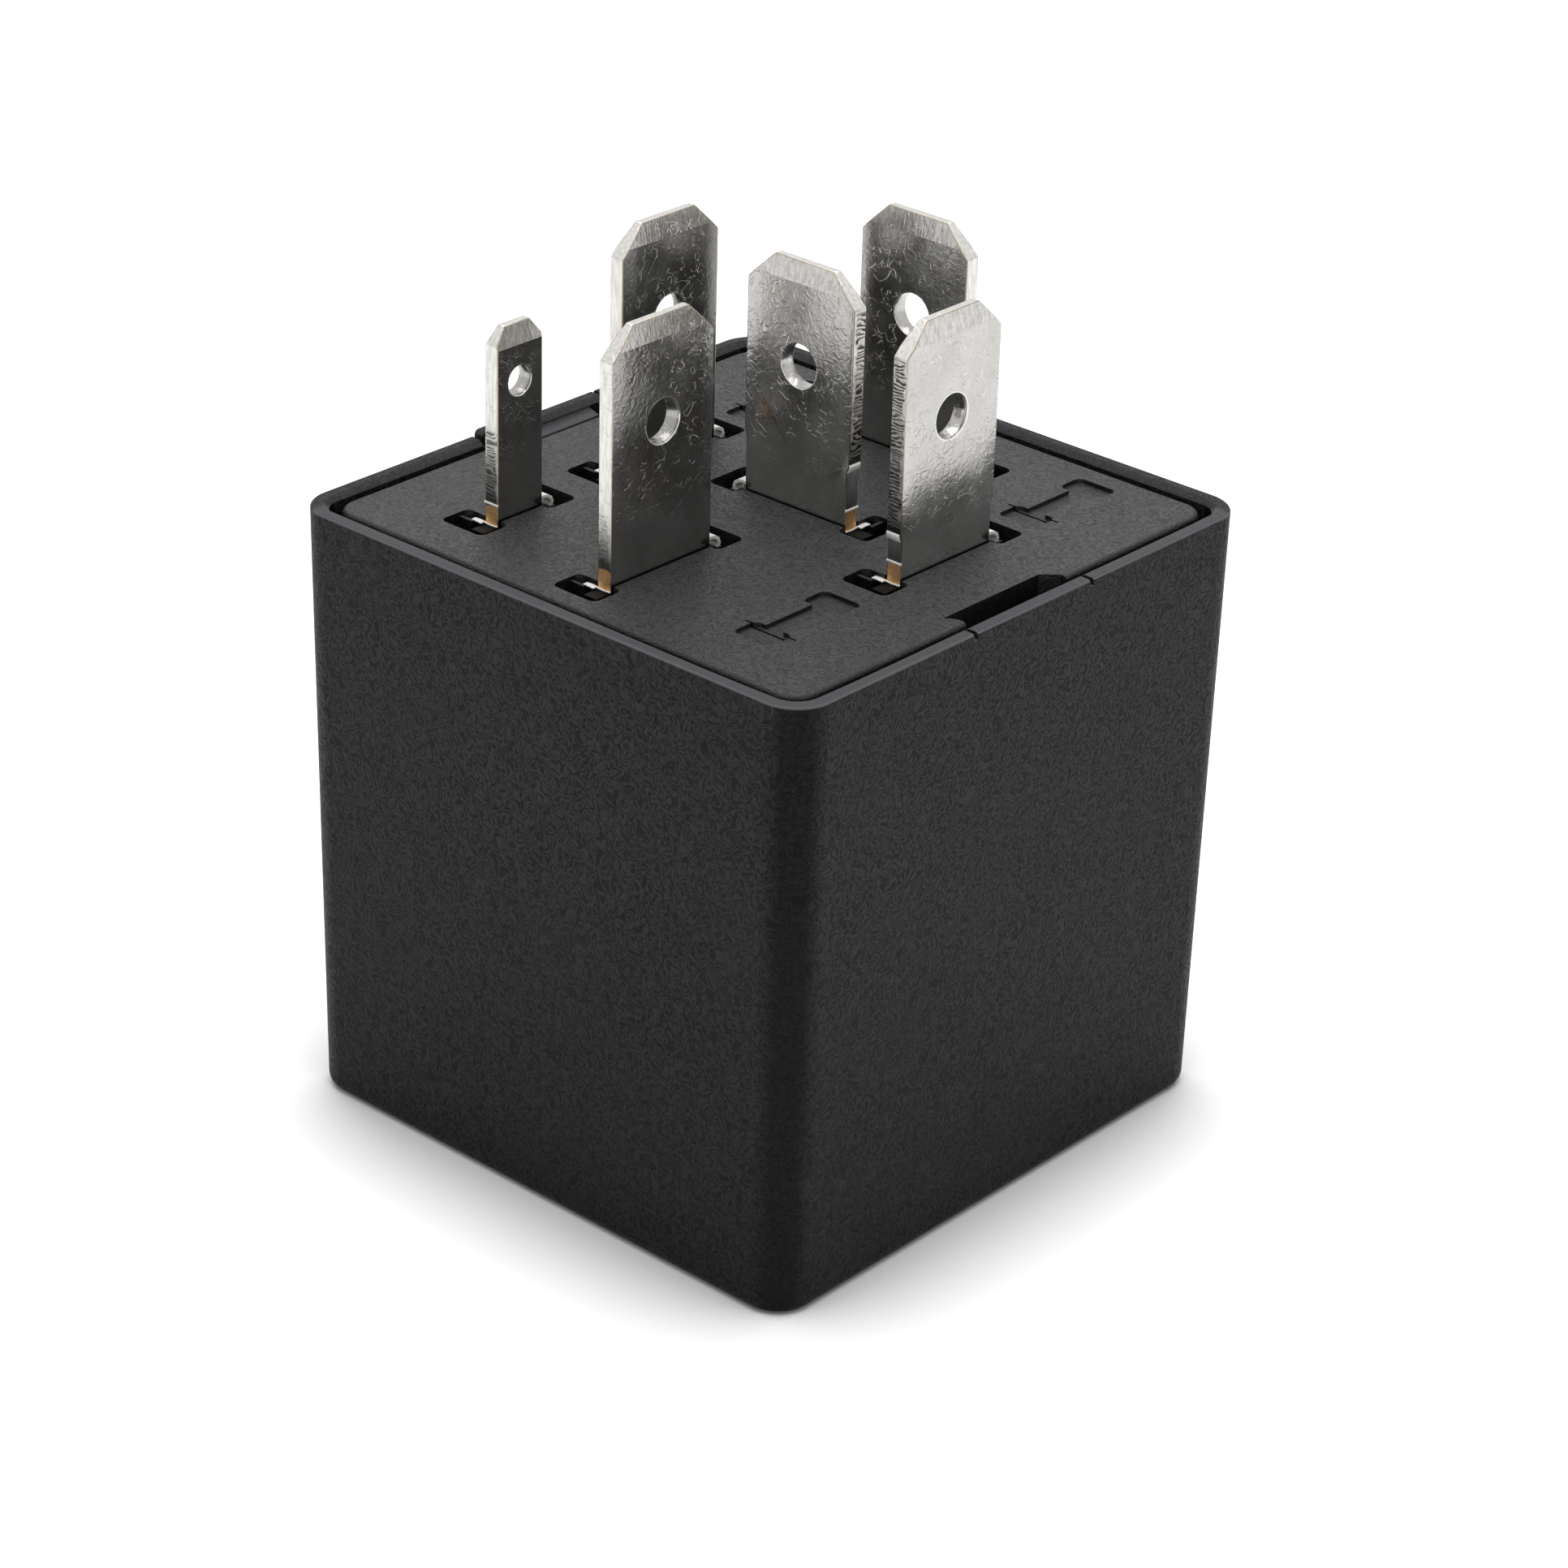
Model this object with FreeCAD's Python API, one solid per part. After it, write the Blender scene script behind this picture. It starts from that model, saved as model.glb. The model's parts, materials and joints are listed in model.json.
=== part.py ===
import FreeCAD, Part
import math
import os

os.makedirs("parts", exist_ok=True)

# Windscreen wiper relay: a square can that stands on its closed end, blades up.
# Millimetres, origin at the middle of the closed end, +Z towards the blades.

# Moulded can
can_width = 30.5
can_height = 30.0
can_draft = 0.2
can_wall = 0.85
can_floor = 1.2
can_corner_r = 1.9
can_foot_r = 0.6
rim_edge_r = 0.15
rim_chamfer = 0.25
rib_width = 1.0
rib_depth = 0.5
rib_spacing = 20.0
nick_width = 0.25
nick_depth = 0.35
nub_length = 1.5
nub_height = 0.32
nub_r = 0.25
nub_y = -3.25

# Snap latch on each side wall
latch_length = 7.4
latch_depth = 1.4
latch_play = 0.8
latch_scoop_r = 0.9
latch_corner = 0.7
left_hook_drop = 0.3
right_hook_drop = 1.35
hook_height = 0.75
hook_ramp = 0.3
ledge_play = 0.05

# Base plate that carries the blades
plate_gap = 0.36
plate_drop = 0.2
plate_thick = 2.4
plate_corner_r = 1.25
plate_edge_r = 0.25
stake_inset = 1.1
stake_r = 0.6
stake_head_r = 0.9
stake_head_height = 0.5
stake_post_r = 1.2

# Blade terminals
blade_thick = 0.8
blade_width = 6.3
blade_height = 11.7
blade_corner_high = 1.4
blade_corner_wide = 1.4
blade_hole_r = 1.03
blade_hole_drop = 4.85
small_width = 2.8
small_height = 9.1
small_corner_high = 0.8
small_corner_wide = 0.62
small_hole_r = 0.7
small_hole_drop = 2.7
bevel_high = 1.0
bevel_deep = 0.2
supply_neck = 2.65
ground_neck = 1.85
neck_slope = 0.3
neck_depth = 0.12
lug_out = 0.9
lug_drop = 0.3
collar_out = 1.5
tail_width = 2.6
small_tail_width = 1.6
tail_below = 1.0

# Where the blades stand
column_pitch = 8.4
middle_x = 0.37
supply_x = 0.6
park_x = 0.0
middle_y = 1.2
front_y = -8.15
signal_y = -8.45
back_y = 9.6

# Blade slots in the base plate
slot_play = 0.06
slot_web_width = 0.95
pocket_past = 1.65
pocket_long = 1.75
pocket_wide = 2.6
pocket_shift = 0.3
pocket_depth = 1.5
pocket_r = 0.35
ridge_width = 0.16
ridge_inset = 0.5
ridge_drop = 0.18
ridge_clear = 0.3
web_past = 0.2
blind_x = 8.6
blind_back_y = 9.75
blind_front_y = -7.9
blind_length = 5.95
blind_web_width = 1.0
blind_pocket_long = 1.5
blind_pocket_wide = 2.2
blind_depth = 0.2
blind_line_width = 0.12
blind_line_depth = 0.4
blind_line_inset = -0.25
blind_line_past = 0.35
blind_dimple_long = 0.35
blind_dimple_wide = 0.7

# Circuit board
board_gap = 2.0
board_thick = 1.6
board_play = 0.25
board_corner_r = 1.0
hole_play = 0.1

# Relay frame and coil
relay_y = -7.4
relay_width = 10.5
relay_length = 22.2
relay_foot = 1.4
relay_foot_side = 1.2
relay_lip = 1.0
relay_corner_r = 0.6
foot_inset = 0.05
relay_base_thick = 1.8
yoke_side_gap = 3.8
yoke_thick = 1.5
yoke_width = 8.4
yoke_reach = 12.5
yoke_bend_r = 0.6
yoke_tab_width = 1.4
yoke_tab_thick = 0.8
ear_drop = 5.2
ear_thick = 0.8
ear_width = 2.4
ear_reach = 2.2
coil_offset = 7.1
flange_side = 10.4
flange_thick = 0.9
flange_corner_r = 1.0
barrel_r = 2.9
winding_r = 4.9
core_r = 2.0
core_play = 0.05
pole_r = 3.25
pole_thick = 1.0
rivet_r = 1.4
rivet_head_r = 1.8
rivet_head_height = 0.5
coil_pin_r = 0.35
coil_pin_y = 4.75
pin_above = 0.6

# Moving armature and contacts
armature_thick = 1.2
armature_width = 8.0
armature_reach = 11.2
armature_corner_r = 0.8
armature_tail = 2.2
armature_air = 0.05
armature_swing = 3.0
leaf_thick = 0.25
leaf_width = 4.4
leaf_corner_r = 1.0
leaf_start = 1.6
leaf_end = 17.0
leaf_rivet_x = 2.6
leaf_rivet_y = 1.3
leaf_rivet_r = 0.6
leaf_rivet_head_r = 1.0
leaf_rivet_head = 0.4
contact_x = 15.6
contact_r = 1.2
contact_shank_r = 0.5
contact_head = 0.6
contact_back = 0.25
contact_back_r = 0.84
contact_air = 0.04
break_head = 0.5
strip_thick = 0.6
strip_width = 4.0
strip_tail_width = 1.4
strip_back = 1.6
make_leg_x = 18.0
break_leg_x = 19.8
break_clear = 1.3

# Return spring of the armature
spring_x = 1.4
spring_r = 0.85
spring_wire = 0.3
spring_pitch = 0.62
spring_part_turn = 0.25
spring_hole_r = 0.4
spring_end = 1.1
spring_hook = 0.25
spring_bar = 1.4

# Electronic components under the board
lead_r = 0.3
lead_above = 0.7
lead_in = 0.1
lead_loop = 0.6
seat_gap = 0.4
solder_r = 0.75
solder_top_r = 0.42
solder_high = 0.5
fillet_run = 0.6
fillet_high = 0.75
fillet_taper = 0.25
electrolytic_r = 3.15
electrolytic_length = 11.0
electrolytic_pitch = 2.5
electrolytic_inset = 0.3
electrolytic_edge_r = 0.5
crimp_drop = 1.8
crimp_r = 0.6
crimp_deep = 0.25
vent_long = 4.1
vent_width = 0.3
vent_deep = 0.15
film_length = 6.0
film_edge_r = 0.3
film_gap = 0.2
film_width = 2.5
film_height = 6.5
film_pitch = 5.0
chip_length = 9.3
chip_width = 6.2
chip_height = 3.2
chip_pitch = 2.54
chip_row = 7.62
chip_lead = 0.5
chip_metal = 0.3
resistor_r = 1.1
resistor_length = 6.0
waist_deep = 0.12
end_round = 0.45
standing_pitch = 2.54
diode_r = 1.3
diode_length = 5.1
zener_r = 0.95
zener_length = 3.9
transistor_r = 2.3
transistor_height = 4.6
transistor_flat = 1.2
transistor_pitch = 1.27
transistor_lift = 1.0
part_inset = 0.6
inner_row_y = -0.1
film_y = 5.9
chip_y = 7.0
chip_side_gap = 2.0
chip_lift = 1.2
transistor_x = 5.2
transistor_y = -0.3
zener_x = 1.6
timing_x = -5.8
input_x = -2.9
feed_x = -2.6

# Levels and half sizes that follow from the sizes above
rim_half = can_width / 2
foot_half = rim_half - can_draft
inner_half = rim_half - can_wall
plate_half = inner_half - plate_gap
plate_top = can_height - plate_drop
plate_low = plate_top - plate_thick
board_top = plate_low - board_gap
board_low = board_top - board_thick
rib_tip = foot_half - can_wall - rib_depth
board_half = rib_tip - board_play
frame_top = board_low - relay_foot
frame_low = frame_top - relay_base_thick
yoke_low = frame_low - yoke_thick
strip_floor = can_floor + break_clear
yoke_x = -(inner_half - yoke_side_gap)
coil_x = yoke_x + coil_offset
swing = math.radians(armature_swing)
break_top = strip_floor + strip_thick + break_head
hinge_z = (break_top + contact_air + (contact_x + contact_r) * math.sin(swing)
           + (armature_air + armature_thick + leaf_thick + contact_head) * math.cos(swing))
hinge = FreeCAD.Vector(yoke_x, relay_y, hinge_z)
armature_top = hinge_z - armature_air
armature_low = armature_top - armature_thick
leaf_low = armature_low - leaf_thick
part_edge = board_half - part_inset
left_x = middle_x - column_pitch
right_x = middle_x + column_pitch
make_low = armature_low + contact_head + contact_air + contact_head


def box(x0, x1, y0, y1, z0, z1):
    return Part.makeBox(x1 - x0, y1 - y0, z1 - z0, FreeCAD.Vector(x0, y0, z0))


def block(x, y, length, width, z0, z1):
    return box(x - length / 2, x + length / 2, y - width / 2, y + width / 2, z0, z1)


def rod(x, y, z0, z1, r):
    return Part.makeCylinder(r, z1 - z0, FreeCAD.Vector(x, y, z0))


def upright_edges(shape):
    found = []
    for edge in shape.Edges:
        a, b = edge.Vertexes[0].Point, edge.Vertexes[-1].Point
        if abs(a.z - b.z) > 0.5 * shape.BoundBox.ZLength:
            found.append(edge)
    return found


def level_edges(shape, z):
    found = []
    for edge in shape.Edges:
        if abs(edge.BoundBox.ZMin - z) < 1e-4 and abs(edge.BoundBox.ZMax - z) < 1e-4:
            found.append(edge)
    return found


def rounded_block(x, y, length, width, z0, z1, r):
    solid = block(x, y, length, width, z0, z1)
    return solid.makeFillet(r, upright_edges(solid))


def tapered_block(low_half, high_half, z0, z1):
    wires = []
    for half, z in ((low_half, z0), (high_half, z1)):
        corners = [(-half, -half), (half, -half), (half, half), (-half, half), (-half, -half)]
        wires.append(Part.makePolygon([FreeCAD.Vector(x, y, z) for x, y in corners]))
    return Part.makeLoft(wires, True, True)


def prism_y(points, y0, y1):
    outline = [FreeCAD.Vector(x, y0, z) for x, z in points]
    face = Part.Face(Part.makePolygon(outline + outline[:1]))
    return face.extrude(FreeCAD.Vector(0, y1 - y0, 0))


def fuse(shapes):
    whole = shapes[0].multiFuse(shapes[1:]) if len(shapes) > 1 else shapes[0]
    return whole.removeSplitter()


def save(name, shape):
    if not shape.isValid():
        print("not valid:", name)
    print(name, len(shape.Solids), round(shape.Volume, 2))
    shape.exportStep("parts/%s.step" % name)


# Moulded can with its latch hooks
def wall_half(z):
    return foot_half + can_draft * z / can_height


def can_shell():
    outer = tapered_block(foot_half, rim_half, 0, can_height)
    outer = outer.makeFillet(can_corner_r, upright_edges(outer))
    outer = outer.makeFillet(can_foot_r, level_edges(outer, 0))
    outer = outer.makeFillet(rim_edge_r, level_edges(outer, can_height))
    low = wall_half(can_floor) - can_wall
    inner = tapered_block(low, inner_half, can_floor, can_height)
    inner = inner.makeFillet(can_corner_r - can_wall, upright_edges(inner))
    shell = outer.cut(inner)
    inside = [edge for edge in level_edges(shell, can_height)
              if max(edge.BoundBox.XMax, edge.BoundBox.YMax) < inner_half + rim_chamfer]
    return shell.makeChamfer(rim_chamfer, inside)


def can_ribs():
    ribs = []
    for turn in range(4):
        for side in (-1, 1):
            y = side * rib_spacing / 2
            rib = box(rib_tip, inner_half + can_wall / 3 - can_draft, y - rib_width / 2,
                      y + rib_width / 2, can_floor / 2, plate_low)
            ribs.append(rib.rotate(FreeCAD.Vector(), FreeCAD.Vector(0, 0, 1), 90 * turn))
    return ribs


def latch_hook(side, drop):
    top = can_height - drop
    half = latch_length / 2 - latch_play
    reach = inner_half - latch_depth + plate_gap
    root = inner_half + can_wall / 3
    points = [(side * root, top), (side * inner_half, top), (side * reach, top - hook_ramp),
              (side * reach, top - hook_height), (side * root, top - hook_height)]
    return prism_y(points, -half, half)


def rim_nicks():
    cuts = []
    for side in (-1, 1):
        for end in (-1, 1):
            y = end * (latch_length / 2 + nick_width)
            cuts.append(block(side * rim_half, y, 4 * can_wall, nick_width,
                              can_height - nick_depth, can_height + 1))
    return cuts


def rim_nub():
    nub = block(-(rim_half - can_wall / 2), nub_y, can_wall - 2 * rim_edge_r, nub_length,
                can_height - nub_height, can_height + nub_height)
    top = level_edges(nub, can_height + nub_height)
    return nub.makeFillet(nub_r, [edge for edge in top if edge.Length < nub_length / 2])


def housing_can():
    shell = fuse([can_shell()] + can_ribs())
    shell = shell.cut(Part.makeCompound(rim_nicks()))
    return fuse([shell, latch_hook(-1, left_hook_drop), latch_hook(1, right_hook_drop), rim_nub()])


# Blade terminals, drawn along X at the origin and then turned and moved
def blade_outline(width, height, corner_wide, corner_high, neck):
    half = width / 2
    foot = half - (neck_depth if neck else 0)
    bend = neck if neck else height / 2
    low = -lug_drop
    right = [(foot, low), (foot, bend), (half, bend + neck_slope), (half, height - corner_high),
             (half - corner_wide, height)]
    return right + [(-x, z) for x, z in reversed(right)]


# Sloped lead-in on both faces of the top edge
def lead_in_cuts(width, height):
    cuts = []
    for side in (-1, 1):
        face_y = side * blade_thick / 2
        points = [(face_y, height - bevel_high), (face_y - side * 2 * bevel_deep, height + bevel_high),
                  (face_y + side * bevel_high, height + bevel_high),
                  (face_y + side * bevel_high, height - bevel_high)]
        outline = [FreeCAD.Vector(-width, y, z) for y, z in points]
        face = Part.Face(Part.makePolygon(outline + outline[:1]))
        cuts.append(face.extrude(FreeCAD.Vector(2 * width, 0, 0)))
    return cuts


def blade(width, height, corner_wide, corner_high, hole_r, hole_drop, neck, tail):
    outline = blade_outline(width, height, corner_wide, corner_high, neck)
    solid = prism_y(outline, -blade_thick / 2, blade_thick / 2)
    solid = solid.cut(Part.makeCompound(lead_in_cuts(width, height)))
    hole = Part.makeCylinder(hole_r, 2 * blade_thick, FreeCAD.Vector(0, -blade_thick, height - hole_drop),
                             FreeCAD.Vector(0, 1, 0))
    lugs = block(0, 0, width + 2 * lug_out, blade_thick, -plate_thick, -lug_drop)
    collar = block(0, 0, width + 2 * collar_out, blade_thick, -plate_thick - board_gap, -plate_thick)
    pin_low = board_low - tail_below - plate_top
    pin = block(0, 0, tail, blade_thick, pin_low, -plate_thick - board_gap)
    return fuse([solid.cut(hole), lugs, collar, pin])


def wide_blade(neck):
    return blade(blade_width, blade_height, blade_corner_wide, blade_corner_high, blade_hole_r,
                 blade_hole_drop, neck, tail_width)


def small_blade():
    return blade(small_width, small_height, small_corner_wide, small_corner_high, small_hole_r,
                 small_hole_drop, 0, small_tail_width)


def stand(shape, x, y, turn, z=plate_top):
    copy = shape.copy()
    copy.rotate(FreeCAD.Vector(), FreeCAD.Vector(0, 0, 1), turn)
    copy.translate(FreeCAD.Vector(x, y, z))
    return copy


terminals = {
    "terminal_signal": (small_width, left_x, signal_y, 90, 0),
    "terminal_motor": (blade_width, middle_x, front_y, 90, 0),
    "terminal_ground": (blade_width, right_x, middle_y, 90, ground_neck),
    "terminal_supply": (blade_width, supply_x, middle_y, 0, supply_neck),
    "terminal_park": (blade_width, park_x, back_y, 0, 0),
    "terminal_switch": (blade_width, left_x, middle_y, 90, 0),
}


# Base plate with a slot for each blade and three slots left moulded shut
def slot_cutter(width, ridge_side):
    half = width / 2
    web = block(0, 0, width + 2 * slot_play + 2 * web_past, slot_web_width, -plate_thick - 1, 1)
    throat = block(0, 0, width + 2 * (lug_out + slot_play), blade_thick + 2 * slot_play, -plate_thick - 1, 0)
    pockets = []
    for side in (-1, 1):
        x = side * (half + pocket_past - pocket_long / 2)
        pockets.append(rounded_block(x, pocket_shift, pocket_long, pocket_wide, -pocket_depth, 1, pocket_r))
    ridge_x = ridge_side * (half + pocket_past - pocket_long + ridge_inset)
    ridge_y = slot_web_width / 2 + ridge_clear
    ridge = box(ridge_x - ridge_width / 2, ridge_x + ridge_width / 2, ridge_y, ridge_y + pocket_wide,
                -plate_thick, -ridge_drop)
    return fuse([web, throat] + pockets).cut(ridge)


def blind_slot_cutter():
    end = blind_length / 2
    shapes = [block(0, 0, blind_length - blind_pocket_long, blind_web_width, -blind_depth, 1)]
    for side in (-1, 1):
        x = side * (end - blind_pocket_long / 2)
        shapes.append(rounded_block(x, 0, blind_pocket_long, blind_pocket_wide, -blind_depth, 1, pocket_r))
    line_x = blind_pocket_long + blind_line_inset - end
    shapes.append(block(line_x, 0, blind_line_width, blind_pocket_wide + 2 * blind_line_past,
                        -blind_line_depth, 1))
    shapes.append(box(blind_line_width - end, blind_dimple_long - end, -blind_dimple_wide, 0,
                      -blind_line_depth, 1))
    return fuse(shapes)


def latch_notch(side, ledge_top):
    half = latch_length / 2
    edge = plate_half - (latch_depth - plate_gap)
    notch = box(edge, plate_half + 1, -half, half, ledge_top, plate_top + 1)
    corner = [e for e in upright_edges(notch) if e.Vertexes[0].X < edge + 0.01 and e.Vertexes[0].Y > 0]
    notch = notch.makeChamfer(latch_corner, corner)
    scoop_y = -half - latch_scoop_r / 3
    scoop = rod(plate_half - latch_scoop_r / 3, scoop_y, ledge_top, plate_top + 1, latch_scoop_r)
    notch = notch.cut(scoop)
    return notch if side > 0 else notch.rotate(FreeCAD.Vector(), FreeCAD.Vector(0, 0, 1), 180)


def stake_places():
    s = board_half - stake_inset
    return [(x, y) for x in (-s, s) for y in (-s, s)]


def base_plate():
    plate = rounded_block(0, 0, 2 * plate_half, 2 * plate_half, plate_low, plate_top, plate_corner_r)
    plate = plate.makeFillet(plate_edge_r, level_edges(plate, plate_top))
    for width, x, y, turn, neck in terminals.values():
        ridge_side = -1 if turn else 1
        plate = plate.cut(stand(slot_cutter(width, ridge_side), x, y, turn))
    far_x = blind_x - 2 * column_pitch
    for x, y in ((blind_x, blind_back_y), (blind_x, blind_front_y), (far_x, blind_back_y)):
        plate = plate.cut(stand(blind_slot_cutter(), x, y, 90))
    left_ledge = can_height - left_hook_drop - hook_height - ledge_play
    right_ledge = can_height - right_hook_drop - hook_height - ledge_play
    plate = plate.cut(latch_notch(-1, left_ledge)).cut(latch_notch(1, right_ledge))
    stakes = []
    for x, y in stake_places():
        stakes.append(rod(x, y, board_top, plate_low, stake_post_r))
        stakes.append(rod(x, y, board_low, board_top, stake_r))
        stakes.append(rod(x, y, board_low - stake_head_height, board_low, stake_head_r))
    return fuse([plate] + stakes)


# Electronic components: where each one sits and where its leads pass the board
edge_row_y = part_edge - resistor_r
electrolytic_out = part_edge - electrolytic_r - electrolytic_inset
electrolytic_at = (-electrolytic_out, electrolytic_out)
film_at = (electrolytic_at[0] + electrolytic_r + film_gap + film_width / 2, film_y)
chip_at = (part_edge - chip_row / 2 - chip_side_gap, chip_y)
transistor_at = (transistor_x, transistor_y)
flyback_at = (diode_r - part_edge, inner_row_y)
zener_at = (zener_x, edge_row_y)
resistors = {
    "resistor_timing": (timing_x, inner_row_y, 90),
    "resistor_input": (input_x, inner_row_y, 90),
    "resistor_driver": (part_edge - resistor_r, inner_row_y, 90),
    "resistor_feed": (feed_x, edge_row_y, 180),
}


def lead_places():
    places = []
    x, y = electrolytic_at
    places += [(x - electrolytic_pitch / 2, y), (x + electrolytic_pitch / 2, y)]
    x, y = film_at
    places += [(x, y - film_pitch / 2), (x, y + film_pitch / 2)]
    x, y = chip_at
    for step in range(4):
        for side in (-1, 1):
            places.append((x + side * chip_row / 2, y + (step - 1.5) * chip_pitch))
    x, y = transistor_at
    places += [(x + step * transistor_pitch, y) for step in (-1, 0, 1)]
    standing = [flyback_at + (90,), zener_at + (180,)] + list(resistors.values())
    for x, y, turn in standing:
        angle = math.radians(turn)
        places.append((x, y))
        places.append((x + standing_pitch * math.cos(angle), y + standing_pitch * math.sin(angle)))
    return places


def lead(x, y, low):
    return rod(x, y, low, board_top + lead_above, lead_r)


def standing_part(x, y, turn, body_r, body_length, waist):
    top = board_low - seat_gap
    body = rod(x, y, top - body_length, top, body_r)
    body = body.makeFillet(body_r * end_round, body.Edges[0:1] + body.Edges[2:3])
    if waist:
        ring = Part.makeTorus(2 * body_r, body_r + waist_deep, FreeCAD.Vector(x, y, top - body_length / 2))
        body = body.cut(ring)
    bend_z = top - body_length - lead_loop
    angle = math.radians(turn)
    reach = FreeCAD.Vector(math.cos(angle), math.sin(angle), 0) * standing_pitch
    middle = FreeCAD.Vector(x, y, bend_z) + reach / 2
    bend = Part.makeTorus(standing_pitch / 2, lead_r, middle, FreeCAD.Vector(-reach.y, reach.x, 0))
    bend = bend.common(block(middle.x, middle.y, 3 * standing_pitch, 3 * standing_pitch,
                             bend_z - standing_pitch, bend_z))
    far = lead(x + reach.x, y + reach.y, bend_z)
    stem = rod(x, y, bend_z, top - body_length + lead_in, lead_r)
    return fuse([body, lead(x, y, top - lead_in), stem, bend, far])


def electrolytic():
    x, y = electrolytic_at
    top = board_low - seat_gap
    body = rod(x, y, top - electrolytic_length, top, electrolytic_r)
    body = body.makeFillet(electrolytic_edge_r, level_edges(body, top - electrolytic_length))
    crimp = Part.makeTorus(electrolytic_r + crimp_r - crimp_deep, crimp_r,
                           FreeCAD.Vector(x, y, top - crimp_drop))
    body = body.cut(crimp)
    score = block(x, y, vent_long, vent_width, top - electrolytic_length - 1,
                  top - electrolytic_length + vent_deep)
    body = body.cut(score).cut(score.copy().rotate(FreeCAD.Vector(x, y, 0), FreeCAD.Vector(0, 0, 1), 90))
    half = electrolytic_pitch / 2
    return fuse([body, lead(x - half, y, top - lead_in), lead(x + half, y, top - lead_in)])


def film_capacitor():
    x, y = film_at
    top = board_low - seat_gap
    body = block(x, y, film_width, film_length, top - film_height, top)
    body = body.makeFillet(film_edge_r, body.Edges)
    half = film_pitch / 2
    return fuse([body, lead(x, y - half, top - lead_in), lead(x, y + half, top - lead_in)])


def timer_chip():
    x, y = chip_at
    top = board_low - chip_lift
    low = top - chip_height
    middle = (top + low) / 2
    body = block(x, y, chip_width, chip_length, low, top)
    body = body.makeChamfer(chip_metal, level_edges(body, low))
    mark = rod(x, y - chip_length / 2, low - 1, low + chip_metal, chip_pitch / 3)
    shapes = [body.cut(mark)]
    for step in range(4):
        for side in (-1, 1):
            leg_x = x + side * chip_row / 2
            leg_y = y + (step - 1.5) * chip_pitch
            shoulder = chip_row / 2 - chip_width / 2 + 2 * chip_metal
            shoulder_x = leg_x - side * (shoulder / 2 - chip_metal / 2)
            shapes.append(block(shoulder_x, leg_y, shoulder, 2 * chip_lead,
                                middle - chip_metal / 2, middle + chip_metal / 2))
            shapes.append(block(leg_x, leg_y, chip_metal, 2 * chip_lead, middle - chip_metal / 2, board_low))
            shapes.append(block(leg_x, leg_y, chip_metal, chip_lead, board_low, board_top + lead_above))
    return fuse(shapes)


def driver_transistor():
    x, y = transistor_at
    top = board_low - transistor_lift
    body = rod(x, y, top - transistor_height, top, transistor_r)
    away = block(x, y - transistor_flat - transistor_r, 3 * transistor_r, 2 * transistor_r,
                 top - transistor_height - 1, top + 1)
    body = body.cut(away)
    leads = [lead(x + step * transistor_pitch, y, top - lead_in) for step in (-1, 0, 1)]
    return fuse([body] + leads)


# Relay frame
def yoke():
    half = yoke_width / 2
    leg = box(yoke_x, yoke_x + yoke_thick, relay_y - half, relay_y + half, hinge_z, frame_low)
    arm = box(yoke_x, yoke_x + yoke_reach, relay_y - half, relay_y + half, yoke_low, frame_low)
    solid = fuse([leg, arm])
    bend = [e for e in level_edges(solid, frame_low) if e.BoundBox.XMax < yoke_x + 0.01]
    solid = solid.makeFillet(yoke_bend_r, bend)
    solid = solid.cut(rod(coil_x, relay_y, yoke_low - 1, frame_low + 1, rivet_r))
    tab = box(yoke_x + yoke_bend_r, yoke_x + yoke_bend_r + yoke_tab_thick, relay_y - yoke_tab_width / 2,
              relay_y + yoke_tab_width / 2, yoke_low, board_top + pin_above)
    ear_z = frame_low - ear_drop
    ear = box(yoke_x - ear_reach, yoke_x + 0.1, relay_y - ear_width / 2, relay_y + ear_width / 2,
              ear_z - ear_thick, ear_z)
    eye = rod(yoke_x - spring_x, relay_y, ear_z - 2, ear_z + 2, spring_hole_r)
    return fuse([solid, tab, ear]).cut(eye)


def strip_slots(grow):
    slots = []
    for leg_x in (make_leg_x, break_leg_x):
        x = yoke_x + leg_x
        slots.append(box(x - grow, x + strip_thick + grow, relay_y - strip_width / 2 - grow,
                         relay_y + strip_width / 2 + grow, frame_low - 1, frame_top + 1))
    return slots


def relay_frame():
    start = yoke_x - relay_lip
    middle = start + relay_length / 2
    plate = rounded_block(middle, relay_y, relay_length, relay_width, frame_low, frame_top, relay_corner_r)
    inset = relay_foot_side
    for x in (start + inset, start + relay_length - inset):
        for side in (-1, 1):
            y = relay_y + side * (relay_width / 2 - relay_foot_side / 2 - foot_inset)
            plate = plate.fuse(block(x, y, relay_foot_side, relay_foot_side, frame_top - 0.1, board_low))
    head = rod(coil_x, relay_y, frame_low - 1, frame_low + rivet_head_height + hole_play,
               rivet_head_r + hole_play)
    tab_x = yoke_x + yoke_bend_r + yoke_tab_thick / 2
    tab = block(tab_x, relay_y, yoke_tab_thick + 2 * hole_play, yoke_tab_width + 2 * hole_play,
                frame_low - 1, frame_top + 1)
    pins = [rod(coil_x, relay_y + side * coil_pin_y, frame_low - 1, frame_top + 1, coil_pin_r)
            for side in (-1, 1)]
    return plate.cut(Part.makeCompound([head, tab] + pins + strip_slots(0))).removeSplitter()


def coil_bobbin():
    top, low = yoke_low, hinge_z + pole_thick
    shapes = [rod(coil_x, relay_y, low, top, barrel_r)]
    for z in (low, top - flange_thick):
        shapes.append(rounded_block(coil_x, relay_y, flange_side, flange_side, z, z + flange_thick,
                                    flange_corner_r))
    bore = rod(coil_x, relay_y, low - 1, top + 1, core_r + core_play)
    pins = [rod(coil_x, relay_y + side * coil_pin_y, top - flange_thick / 2, top + 1, coil_pin_r)
            for side in (-1, 1)]
    return fuse(shapes).cut(Part.makeCompound([bore] + pins))


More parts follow.
